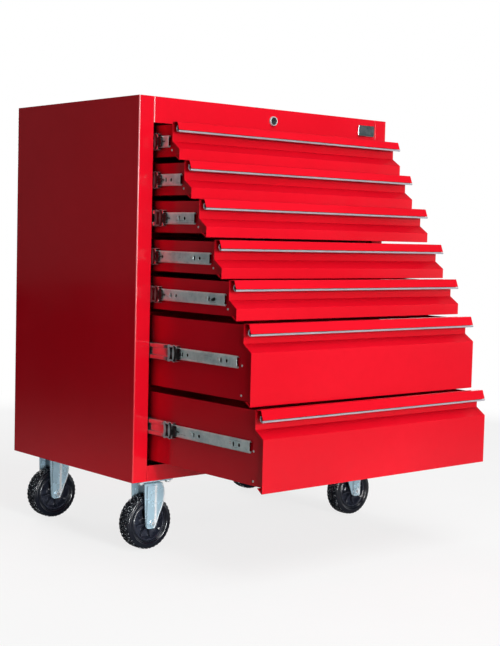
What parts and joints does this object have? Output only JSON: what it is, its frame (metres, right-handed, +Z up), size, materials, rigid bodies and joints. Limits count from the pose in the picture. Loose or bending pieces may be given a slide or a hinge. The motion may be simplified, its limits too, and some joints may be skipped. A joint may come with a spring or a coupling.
{
  "type": "rolling tool box",
  "caption": "Red sheet-steel roller cabinet with a cascade of full-width drawers on ball-bearing slides, a front lock and castor wheels.",
  "frame": {"origin": "centre of the bounding box footprint at floor level, drawers in their rest positions", "axes": "+Z up, drawers open towards -Y, +X to the right seen from the front"},
  "size_m": [0.7622, 0.8866, 0.9977],
  "materials": {
    "red_gloss_paint": "high gloss red powder coat",
    "zinc_plate": "bright zinc plate",
    "galvanised_steel": "galvanised",
    "brushed_aluminium": "satin anodised",
    "chrome_lock": "polished",
    "black_rubber": "black rubber tyre moulded on a black hub"
  },
  "bodies": {
    "cabinet": {"left_side_panel": "red_gloss_paint", "right_side_panel": "red_gloss_paint", "back_panel": "red_gloss_paint", "top_panel": "red_gloss_paint", "base_panel": "red_gloss_paint", "left_slide_frame": "galvanised_steel", "right_slide_frame": "galvanised_steel", "swivel_plate_front": "zinc_plate", "swivel_plate_rear": "zinc_plate", "fixed_bracket_front": "zinc_plate", "fixed_bracket_rear": "zinc_plate"},
    "lock": {"lock_plug": "chrome_lock"},
    "drawer_1": {"drawer_1": "red_gloss_paint", "drawer_trim_1": "brushed_aluminium", "slide_inner_left_1": "zinc_plate", "slide_inner_right_1": "zinc_plate"},
    "middle_left_1": {"slide_middle_left_1": "zinc_plate"},
    "middle_right_1": {"slide_middle_right_1": "zinc_plate"},
    "drawer_2": {"drawer_2": "red_gloss_paint", "drawer_trim_2": "brushed_aluminium", "slide_inner_left_2": "zinc_plate", "slide_inner_right_2": "zinc_plate"},
    "middle_left_2": {"slide_middle_left_2": "zinc_plate"},
    "middle_right_2": {"slide_middle_right_2": "zinc_plate"},
    "drawer_3": {"drawer_3": "red_gloss_paint", "drawer_trim_3": "brushed_aluminium", "slide_inner_left_3": "zinc_plate", "slide_inner_right_3": "zinc_plate"},
    "middle_left_3": {"slide_middle_left_3": "zinc_plate"},
    "middle_right_3": {"slide_middle_right_3": "zinc_plate"},
    "drawer_4": {"drawer_4": "red_gloss_paint", "drawer_trim_4": "brushed_aluminium", "slide_inner_left_4": "zinc_plate", "slide_inner_right_4": "zinc_plate"},
    "middle_left_4": {"slide_middle_left_4": "zinc_plate"},
    "middle_right_4": {"slide_middle_right_4": "zinc_plate"},
    "drawer_5": {"drawer_5": "red_gloss_paint", "drawer_trim_5": "brushed_aluminium", "slide_inner_left_5": "zinc_plate", "slide_inner_right_5": "zinc_plate"},
    "middle_left_5": {"slide_middle_left_5": "zinc_plate"},
    "middle_right_5": {"slide_middle_right_5": "zinc_plate"},
    "drawer_6": {"drawer_6": "red_gloss_paint", "drawer_trim_6": "brushed_aluminium", "slide_inner_left_6": "zinc_plate", "slide_inner_right_6": "zinc_plate"},
    "middle_left_6": {"slide_middle_left_6": "zinc_plate"},
    "middle_right_6": {"slide_middle_right_6": "zinc_plate"},
    "drawer_7": {"drawer_7": "red_gloss_paint", "drawer_trim_7": "brushed_aluminium", "slide_inner_left_7": "zinc_plate", "slide_inner_right_7": "zinc_plate"},
    "middle_left_7": {"slide_middle_left_7": "zinc_plate"},
    "middle_right_7": {"slide_middle_right_7": "zinc_plate"},
    "fork_front": {"swivel_fork_front": "zinc_plate"},
    "wheel_front_left": {"wheel_front_left": "black_rubber"},
    "wheel_front_right": {"wheel_front_right": "black_rubber"},
    "fork_rear": {"swivel_fork_rear": "zinc_plate"},
    "wheel_rear_left": {"wheel_rear_left": "black_rubber"},
    "wheel_rear_right": {"wheel_rear_right": "black_rubber"}
  },
  "joints": [
    {"name": "lock_turn", "type": "hinge", "parent": "cabinet", "child": "lock", "pos_m": [0, -0.06175, 0.97], "axis": [0, 1, 0], "range_deg": [0, 90]},
    {"name": "drawer_1_slide", "type": "slide", "parent": "cabinet", "child": "drawer_1", "axis": [0, -1, 0], "range_m": [-0.09, 0.33]},
    {"name": "middle_left_1_slide", "type": "slide", "parent": "cabinet", "child": "middle_left_1", "axis": [0, -1, 0], "range_m": [-0.0615, 0.22417]},
    {"name": "middle_right_1_slide", "type": "slide", "parent": "cabinet", "child": "middle_right_1", "axis": [0, -1, 0], "range_m": [-0.0615, 0.22417]},
    {"name": "drawer_2_slide", "type": "slide", "parent": "cabinet", "child": "drawer_2", "axis": [0, -1, 0], "range_m": [-0.134, 0.286]},
    {"name": "middle_left_2_slide", "type": "slide", "parent": "cabinet", "child": "middle_left_2", "axis": [0, -1, 0], "range_m": [-0.063, 0.1339]},
    {"name": "middle_right_2_slide", "type": "slide", "parent": "cabinet", "child": "middle_right_2", "axis": [0, -1, 0], "range_m": [-0.063, 0.1339]},
    {"name": "drawer_3_slide", "type": "slide", "parent": "cabinet", "child": "drawer_3", "axis": [0, -1, 0], "range_m": [-0.187, 0.233]},
    {"name": "middle_left_3_slide", "type": "slide", "parent": "cabinet", "child": "middle_left_3", "axis": [0, -1, 0], "range_m": [-0.0855, 0.10641]},
    {"name": "middle_right_3_slide", "type": "slide", "parent": "cabinet", "child": "middle_right_3", "axis": [0, -1, 0], "range_m": [-0.0855, 0.10641]},
    {"name": "drawer_4_slide", "type": "slide", "parent": "cabinet", "child": "drawer_4", "axis": [0, -1, 0], "range_m": [-0.24, 0.18]},
    {"name": "middle_left_4_slide", "type": "slide", "parent": "cabinet", "child": "middle_left_4", "axis": [0, -1, 0], "range_m": [-0.0615, 0.04625]},
    {"name": "middle_right_4_slide", "type": "slide", "parent": "cabinet", "child": "middle_right_4", "axis": [0, -1, 0], "range_m": [-0.0615, 0.04625]},
    {"name": "drawer_5_slide", "type": "slide", "parent": "cabinet", "child": "drawer_5", "axis": [0, -1, 0], "range_m": [-0.29, 0.13]},
    {"name": "middle_left_5_slide", "type": "slide", "parent": "cabinet", "child": "middle_left_5", "axis": [0, -1, 0], "range_m": [-0.0745, 0.03367]},
    {"name": "middle_right_5_slide", "type": "slide", "parent": "cabinet", "child": "middle_right_5", "axis": [0, -1, 0], "range_m": [-0.0745, 0.03367]},
    {"name": "drawer_6_slide", "type": "slide", "parent": "cabinet", "child": "drawer_6", "axis": [0, -1, 0], "range_m": [-0.339, 0.081]},
    {"name": "middle_left_6_slide", "type": "slide", "parent": "cabinet", "child": "middle_left_6", "axis": [0, -1, 0], "range_m": [-0.1425, 0.03443]},
    {"name": "middle_right_6_slide", "type": "slide", "parent": "cabinet", "child": "middle_right_6", "axis": [0, -1, 0], "range_m": [-0.1425, 0.03443]},
    {"name": "drawer_7_slide", "type": "slide", "parent": "cabinet", "child": "drawer_7", "axis": [0, -1, 0], "range_m": [-0.3815, 0.0385]},
    {"name": "middle_left_7_slide", "type": "slide", "parent": "cabinet", "child": "middle_left_7", "axis": [0, -1, 0], "range_m": [-0.1335, 0.01392]},
    {"name": "middle_right_7_slide", "type": "slide", "parent": "cabinet", "child": "middle_right_7", "axis": [0, -1, 0], "range_m": [-0.1335, 0.01392]},
    {"name": "castor_front_swivel", "type": "hinge", "parent": "cabinet", "child": "fork_front", "pos_m": [-0.3123, -0.02745, 0.1417], "axis": [0, 0, 1], "continuous": true},
    {"name": "wheel_front_left_roll", "type": "hinge", "parent": "fork_front", "child": "wheel_front_left", "pos_m": [-0.3203, -0.02745, 0.0608], "axis": [0, 1, 0], "continuous": true},
    {"name": "wheel_front_right_roll", "type": "hinge", "parent": "cabinet", "child": "wheel_front_right", "pos_m": [0.3203, -0.02745, 0.0608], "axis": [0, 1, 0], "continuous": true},
    {"name": "castor_rear_swivel", "type": "hinge", "parent": "cabinet", "child": "fork_rear", "pos_m": [-0.3123, 0.36425, 0.1417], "axis": [0, 0, 1], "continuous": true},
    {"name": "wheel_rear_left_roll", "type": "hinge", "parent": "fork_rear", "child": "wheel_rear_left", "pos_m": [-0.3203, 0.36425, 0.0608], "axis": [0, 1, 0], "continuous": true},
    {"name": "wheel_rear_right_roll", "type": "hinge", "parent": "cabinet", "child": "wheel_rear_right", "pos_m": [0.3203, 0.36425, 0.0608], "axis": [0, 1, 0], "continuous": true}
  ],
  "couplings": [
    {"joint": "middle_left_1_slide", "follows": "drawer_1_slide", "ratio": 0.67778},
    {"joint": "middle_right_1_slide", "follows": "drawer_1_slide", "ratio": 0.67778},
    {"joint": "middle_left_2_slide", "follows": "drawer_2_slide", "ratio": 0.46642},
    {"joint": "middle_right_2_slide", "follows": "drawer_2_slide", "ratio": 0.46642},
    {"joint": "middle_left_3_slide", "follows": "drawer_3_slide", "ratio": 0.45455},
    {"joint": "middle_right_3_slide", "follows": "drawer_3_slide", "ratio": 0.45455},
    {"joint": "middle_left_4_slide", "follows": "drawer_4_slide", "ratio": 0.25417},
    {"joint": "middle_right_4_slide", "follows": "drawer_4_slide", "ratio": 0.25417},
    {"joint": "middle_left_5_slide", "follows": "drawer_5_slide", "ratio": 0.25517},
    {"joint": "middle_right_5_slide", "follows": "drawer_5_slide", "ratio": 0.25517},
    {"joint": "middle_left_6_slide", "follows": "drawer_6_slide", "ratio": 0.41888},
    {"joint": "middle_right_6_slide", "follows": "drawer_6_slide", "ratio": 0.41888},
    {"joint": "middle_left_7_slide", "follows": "drawer_7_slide", "ratio": 0.34862},
    {"joint": "middle_right_7_slide", "follows": "drawer_7_slide", "ratio": 0.34862}
  ]
}
